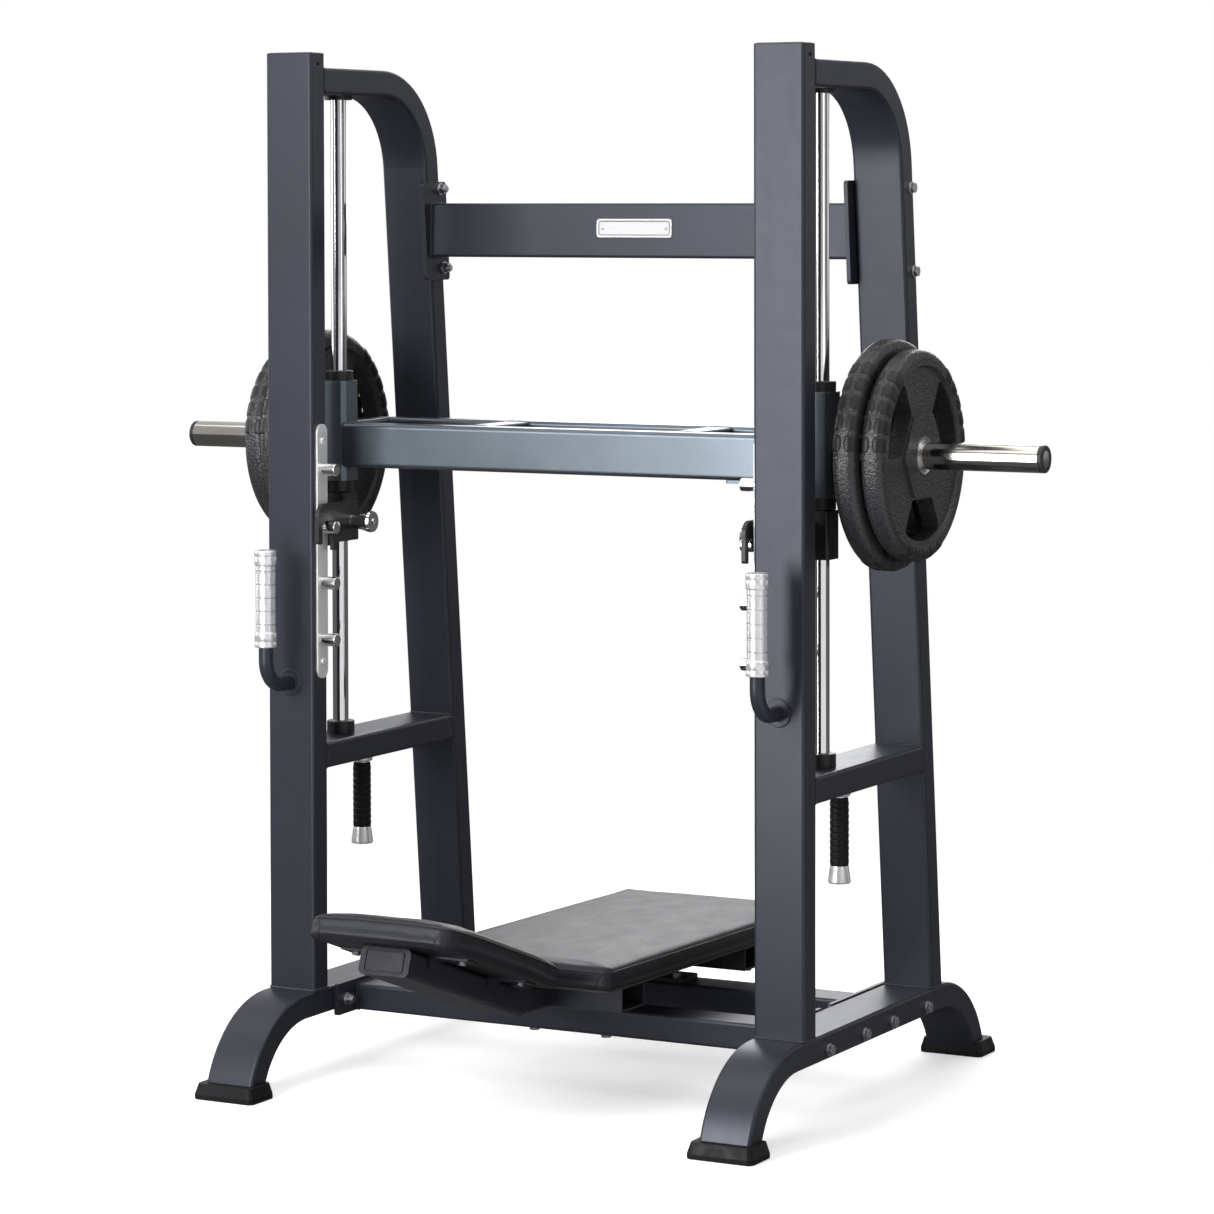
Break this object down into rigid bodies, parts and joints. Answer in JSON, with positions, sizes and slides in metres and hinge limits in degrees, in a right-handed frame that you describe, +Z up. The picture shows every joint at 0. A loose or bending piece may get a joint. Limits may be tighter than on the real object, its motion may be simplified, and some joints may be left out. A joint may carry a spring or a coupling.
{
  "type": "smith machine",
  "caption": "Guide-rod leg press frame: twin side frames on rubber feet, plate-loaded carriage on vertical rods, hooked safety stops and a padded bench with a raised head pad",
  "frame": {"origin": "on the floor under the middle of the whole machine, at the centre of its footprint box", "axes": "X across the machine, positive to the right seen from the head-pad end; Y from the head-pad end to the back; Z up"},
  "size_m": [1.81, 1.3792, 1.932],
  "materials": {
    "frame_powder": "satin graphite powder coat with a fine orange-peel texture",
    "bench_powder": "satin graphite powder coat",
    "carriage_powder": "metallic blue-grey powder coat",
    "black_plastic": "moulded black plastic, satin",
    "foot_rubber": "black moulded rubber",
    "grip_rubber": "black ribbed grip rubber",
    "chrome": "polished hard chrome",
    "knurled_aluminium": "turned aluminium with fine rings",
    "zinc_hardware": "zinc plated steel",
    "bush_steel": "ground bearing steel",
    "black_steel": "black coated steel",
    "stainless": "brushed stainless strip",
    "badge_metal": "blank brushed plate",
    "plate_rubber": "black rubber with pebbled faces and a treaded rim",
    "pad_leather": "black grained upholstery leatherette",
    "board_ply": "dark stained plywood backing board"
  },
  "bodies": {
    "frame": {"badge_plate": "badge_metal", "bench_bolts": "zinc_hardware", "bench_cross_channels": "bench_powder", "bench_foot_plates": "bench_powder", "bench_tube": "bench_powder", "bench_tube_cap": "black_plastic", "frame_bolts": "zinc_hardware", "frame_nuts": "zinc_hardware", "front_base_beam": "frame_powder", "handle_cores": "knurled_aluminium", "handle_grips": "grip_rubber", "head_pad": "pad_leather", "head_pad_brackets": "bench_powder", "left_base_rail": "frame_powder", "left_front_upright": "frame_powder", "left_grip_bar": "frame_powder", "left_grip_sleeve": "knurled_aluminium", "left_guide_rod": "chrome", "left_mid_rail": "frame_powder", "left_peg_plate": "stainless", "left_rear_upright": "frame_powder", "main_pad": "pad_leather", "pad_boards": "board_ply", "rear_base_beam": "frame_powder", "rear_top_beam": "frame_powder", "right_base_rail": "frame_powder", "right_front_upright": "frame_powder", "right_grip_bar": "frame_powder", "right_grip_sleeve": "knurled_aluminium", "right_guide_rod": "chrome", "right_mid_rail": "frame_powder", "right_peg_plate": "stainless", "right_rear_upright": "frame_powder", "rod_clamps": "black_steel", "rubber_feet": "foot_rubber", "stop_pegs": "chrome", "upright_caps": "black_plastic"},
    "carriage": {"carriage_frame": "carriage_powder", "left_bearing_housing": "carriage_powder", "right_bearing_housing": "carriage_powder", "bearing_rings": "black_plastic", "linear_bushes": "bush_steel", "left_weight_sleeve": "chrome", "right_weight_sleeve": "chrome", "sleeve_end_caps": "black_plastic"},
    "left_stop": {"left_stop_collar": "black_steel", "left_stop_hook": "black_steel", "left_stop_knob": "chrome"},
    "right_stop": {"right_stop_collar": "black_steel", "right_stop_hook": "black_steel", "right_stop_knob": "chrome"},
    "left_inner_weight": {"left_inner_plate": "plate_rubber", "left_inner_plate_hub": "chrome"},
    "left_outer_weight": {"left_outer_plate": "plate_rubber", "left_outer_plate_hub": "chrome"},
    "right_inner_weight": {"right_inner_plate": "plate_rubber", "right_inner_plate_hub": "chrome"},
    "right_outer_weight": {"right_outer_plate": "plate_rubber", "right_outer_plate_hub": "chrome"}
  },
  "joints": [
    {"name": "carriage_slide", "type": "slide", "parent": "frame", "child": "carriage", "axis": [0, 0, 1], "range_m": [0, 0.5]},
    {"name": "left_stop_swing", "type": "hinge", "parent": "frame", "child": "left_stop", "pos_m": [-0.509, 0.02558, 1.05], "axis": [0, 0, 1], "range_deg": [0, 45]},
    {"name": "right_stop_swing", "type": "hinge", "parent": "frame", "child": "right_stop", "pos_m": [0.509, 0.02558, 1.05], "axis": [0, 0, 1], "range_deg": [-45, 0]},
    {"name": "left_inner_weight_slide", "type": "slide", "parent": "carriage", "child": "left_inner_weight", "axis": [-1, 0, 0], "range_m": [0, 0.11]},
    {"name": "left_outer_weight_slide", "type": "slide", "parent": "left_inner_weight", "child": "left_outer_weight", "axis": [-1, 0, 0], "range_m": [0, 0.11]},
    {"name": "right_inner_weight_slide", "type": "slide", "parent": "carriage", "child": "right_inner_weight", "axis": [1, 0, 0], "range_m": [0, 0.11]},
    {"name": "right_outer_weight_slide", "type": "slide", "parent": "right_inner_weight", "child": "right_outer_weight", "axis": [1, 0, 0], "range_m": [0, 0.11]}
  ]
}
